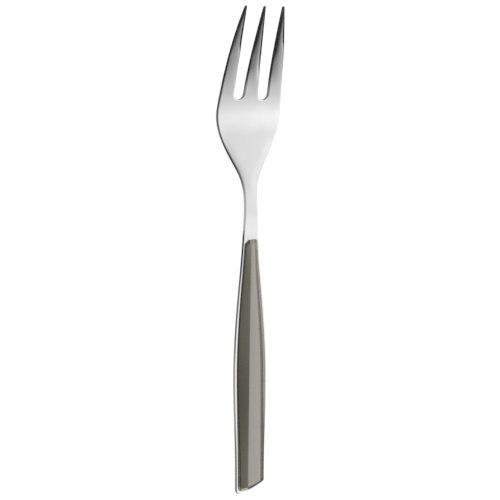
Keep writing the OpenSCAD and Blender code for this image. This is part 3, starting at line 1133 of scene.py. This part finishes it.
    def edge_drop(self, i: int, j: int, slot_row: int) -> float:
        """Gives how far the polished face rolls down near its edges.

        Args:
            i: The point's column.
            j: Its row.
            slot_row: The row at which the gaps begin.

        Returns:
            The drop of the upper face.
        """
        s = self.shape.sizes
        row = self.plan[j]
        x, y = row[i]
        low, high = row[0][0], row[-1][0]
        drop = self.crown(x, low, high, self.head_crown, 0.0) * (1 - self.eased(y, self.crown_end_zone))
        roll = self.eased(y, self.roll_start_zone) * (1 - self.eased(y, self.roll_end_zone))
        for distance, fall in zip((x - low, high - x), self.shoulder_rolls):
            drop += fall * roll * max(1 - distance / self.shoulder_roll_w, 0.0) ** 2
        drop += self.shoulder_edge * roll * max(1 - (x - low) / self.edge_cell, 0.0)
        for (first, end), edges in zip(self.lanes[::2], self.tine_edges):
            if j >= slot_row and first <= i <= end:
                low, high = row[first][0], row[end][0]
                drop += self.crown(x, low, high, edges.lean, edges.lean_shift) * self.eased(y, self.lean_zone)
                drop += edges.drop(x - low, high - x, y)
        return drop * smooth_share(y, s.plate_top_y + self.rolled_past_plate, s.tip_y - self.rolled_from_tips)

    def crown(self, x: float, low: float, high: float, lean: float, shift: float) -> float:
        """Gives how far a crowned face falls beside its middle.

        Args:
            x: The place across.
            low: Where the face starts.
            high: Where it ends.
            lean: Its slope at both edges, in degrees.
            shift: Share of half the width by which its top lies to the right.

        Returns:
            The fall below the middle.
        """
        half = (high - low) / 2
        share = (x - low) / half - 1 if half > 0 else 0.0
        return rise(lean) * half / 2 * (share - shift) ** 2

    def pocket_cutter(self) -> bpy.types.Object:
        """Builds the block that cuts the cover's pocket.

        Returns:
            The block.
        """
        s = self.shape.sizes
        plan = CoverPlan(self.shape, 0.0)
        columns, rows = self.cutter_cells
        bm, points = grid_mesh(columns, rows)
        for (i, j), vert in points.items():
            x, y = plan.point(2 * i / columns - 1, j / rows)
            vert.co = self.shape.on_plate(x, y, s.handle_t - s.pocket_depth)
        bmesh.ops.translate(bm, vec=(0, 0, self.cutter_h), verts=extrude_all(bm))
        return finish_mesh("pocket_cutter", bm)

    def build(self) -> bpy.types.Object:
        """Builds and dresses the blank.

        Returns:
            The finished piece.
        """
        slot_row = self.lay_out()
        rows = len(self.plan) - 1
        bm, points = grid_mesh(self.columns, rows)
        level = bm.verts.layers.int[LEVEL]
        spare = []
        for face in bm.faces:
            centre = face.calc_center_median()
            i, j = (centre.x + 1) / 2 * self.columns, (centre.y + 1) / 2 * rows
            if j > slot_row and any(low < i < high for low, high in self.lanes[1::2]):
                spare.append(face)
        for (i, j), vert in points.items():
            x, y = self.plan[j][i]
            vert.co = (x, y, self.shape.face_z(y, 1) - self.edge_drop(i, j, slot_row))
        bmesh.ops.delete(bm, geom=spare, context="FACES")
        for vert in extrude_all(bm):
            vert[level] = 1
            vert.co.z = self.shape.face_z(vert.co.y, -1)
        walls = {face for face in bm.faces if len({vert[level] for vert in face.verts}) == 2}
        rims = [edge for edge in bm.edges if sum(face in walls for face in edge.link_faces) == 1]
        round_edges(bm, rims, self.arris, self.arris_steps)
        for vert in bm.verts:
            vert.co.y = min(vert.co.y, self.shape.sizes.tip_y)
        piece = finish_mesh("fork_blank_dressed", bm)
        self.cut_pocket(piece)
        piece.data.materials.append(self.finish.build())
        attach(piece, "root")
        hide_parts("fork_blank")
        LOG.info("blank: %d faces", len(piece.data.polygons))
        return piece

    def cut_pocket(self, piece: bpy.types.Object) -> None:
        """Cuts the cover's pocket out of the blank.

        Args:
            piece: The blank, whose mesh is replaced by the cut one.
        """
        cutter = self.pocket_cutter()
        cut = piece.modifiers.new("pocket", "BOOLEAN")
        cut.object, cut.operation, cut.solver = cutter, "DIFFERENCE", "EXACT"
        evaluated = piece.evaluated_get(bpy.context.evaluated_depsgraph_get())
        result = bpy.data.meshes.new_from_object(evaluated)
        piece.modifiers.clear()
        piece.data = result
        bpy.data.objects.remove(cutter, do_unlink=True)
        shade(result)


@dataclass
class BondFilm:
    """The adhesive film under the cover, which keeps its CAD solid."""

    finish: Finish

    def build(self) -> bpy.types.Object:
        """Dresses the film.

        Returns:
            The CAD object.
        """
        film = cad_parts["bond_film"]
        material = self.finish.build()
        if not film.material_slots:
            film.data.materials.append(material)
        for place in film.material_slots:
            place.material = material
        LOG.info("film: %d faces", len(film.data.polygons))
        return film


@dataclass(frozen=True)
class Studio:
    """Pale floor, soft surrounding light and the camera.

    The light has its levels by the angle in degrees across the fork and along it.
    """

    distance: float = 1.0
    tilt: float = 20.0
    roll: float = 0.00647
    shift_across: float = 1.009 * MM
    shift_along: float = 0.6 * MM
    sensor_w: float = 36.0
    far: float = 50.0
    pixels: float = 500.0
    pixels_per_metre: float = 3117.5
    floor_size: float = 12.0
    floor_cells: int = 8
    floor_gap: float = 0.02 * MM
    floor_tone: float = 0.24
    floor_glow: float = 0.9
    front_turn: float = 25.0
    front_light: float = 1.3
    front_zone: tuple[float, float] = (0.88, 0.97)
    least_z: float = 0.02
    top_level: float = 1.5
    across_light: Points = (
        (-90, 0.3), (-72, 0.2), (-54, 0.04), (-37, 0.14), (-24, 0.3), (-8, 0.72), (8, 0.93), (20, 1.01),
        (27, 1.15), (34, 1.2), (42, 1.2), (52, 1.0), (62, 0.58), (72, 0.5), (80, 0.24), (90, 0.1))
    along_light: Points = (
        (-90, 0.45), (-55, 0.66), (-26, 1.04), (-18, 1.06), (-12, 1.03), (-6, 1.04), (0, 1.12), (6, 1.18),
        (12, 1.22), (17, 1.19), (21, 1.07), (25, 0.955), (29, 0.87), (34, 0.75), (40, 0.42), (46, 0.13),
        (54, 0.02), (66, 0.1), (78, 0.6), (90, 0.8))

    def camera(self) -> None:
        """Makes the camera, which looks down from the left of the fork."""
        tilt = math.radians(self.tilt)
        back = Vector((-math.sin(tilt), 0, math.cos(tilt)))
        across = Vector((math.cos(tilt), 0, math.sin(tilt)))
        right = (across - Vector((0, self.roll, 0))).normalized()
        target = across * self.shift_across + Vector((0, self.shift_along, 0))
        data = bpy.data.cameras.new("camera")
        data.sensor_width = self.sensor_w
        data.lens = self.pixels_per_metre * self.distance * self.sensor_w / self.pixels
        data.clip_end = self.far
        camera = bpy.data.objects.new("camera", data)
        axes = Matrix((right, back.cross(right), back)).transposed()
        camera.matrix_world = Matrix.Translation(target + back * self.distance) @ axes.to_4x4()
        bpy.context.scene.collection.objects.link(camera)
        bpy.context.scene.camera = camera

    def floor(self) -> None:
        """Makes the pale floor, which looks white and keeps the fork's shadow."""
        bm = bmesh.new()
        cells = self.floor_cells
        bmesh.ops.create_grid(bm, x_segments=cells, y_segments=cells, size=self.floor_size)
        bmesh.ops.translate(bm, vec=(0, 0, -self.floor_gap), verts=bm.verts[:])
        mesh = bpy.data.meshes.new("floor")
        bm.to_mesh(mesh)
        bm.free()
        floor = bpy.data.objects.new("floor", mesh)
        bpy.context.scene.collection.objects.link(floor)
        material = bpy.data.materials.new("pale_floor")
        material.use_nodes = True
        graph = Graph(material.node_tree)
        rays = graph.add("ShaderNodeLightPath").outputs
        seen = graph.math("MAXIMUM", graph.math("MAXIMUM", rays["Is Camera Ray"], rays["Is Glossy Ray"]),
                          rays["Is Transmission Ray"])
        graph.feed(material.node_tree.nodes["Principled BSDF"], {
            "Base Color": grey(self.floor_tone), "Roughness": 1.0, "Specular IOR Level": 0.0,
            "Emission Color": grey(1.0), "Emission Strength": graph.math("MULTIPLY", seen, self.floor_glow)})
        mesh.materials.append(material)

    def light(self) -> None:
        """Makes the surrounding light: bright above and to the right, dim to the left and in front."""
        world = bpy.data.worlds.new("studio")
        bpy.context.scene.world = world
        world.use_nodes = True
        graph = Graph(world.node_tree)
        x, y, z = graph.axes("Generated")
        turn = math.radians(self.front_turn)
        front = graph.math("MULTIPLY_ADD", x, -math.sin(turn), graph.math("MULTIPLY", y, -math.cos(turn)))
        forward = graph.math("ARCTAN2", front, graph.math("MAXIMUM", z, self.least_z))
        level = graph.math("MULTIPLY", self.curve(graph, graph.math("ARCTAN2", x, z), self.across_light),
                           self.curve(graph, forward, self.along_light))
        low_front = graph.ramp(graph.math("MULTIPLY", y, -1.0), *self.front_zone)
        level = graph.math("MULTIPLY_ADD", low_front, self.front_light, level)
        graph.feed(world.node_tree.nodes["Background"], {"Color": grey(1.0), "Strength": level})

    def curve(self, graph: Graph, angle: Socket, points: Points) -> Socket:
        """Maps an angle to a light level.

        Args:
            graph: The world's graph.
            angle: The angle in radians.
            points: Angles in degrees with their levels.

        Returns:
            The level.
        """
        node = graph.add("ShaderNodeFloatCurve", {"Value": graph.span(angle, -math.pi / 2, math.pi / 2)})
        line = node.mapping.curves[0].points
        for degrees, value in points[1:-1]:
            line.new(degrees / 180 + 0.5, value / self.top_level)
        line[0].location = (0.0, points[0][1] / self.top_level)
        line[len(line) - 1].location = (1.0, points[-1][1] / self.top_level)
        node.mapping.update()
        return graph.math("MULTIPLY", node.outputs[0], self.top_level)

    def build(self) -> None:
        """Makes the whole studio."""
        self.camera()
        self.floor()
        self.light()
        bpy.context.scene.view_settings.view_transform = "Standard"


def main() -> None:
    """Builds the studio and the fork."""
    logging.basicConfig(level=logging.INFO)
    Studio().build()
    shape = ForkShape(ForkSizes())
    SteelBlank(shape, PolishedSteel()).build()
    HandleCover(shape, PearlCover()).build()
    BondFilm(CuredAdhesive()).build()


if __name__ == "__main__":
    main()
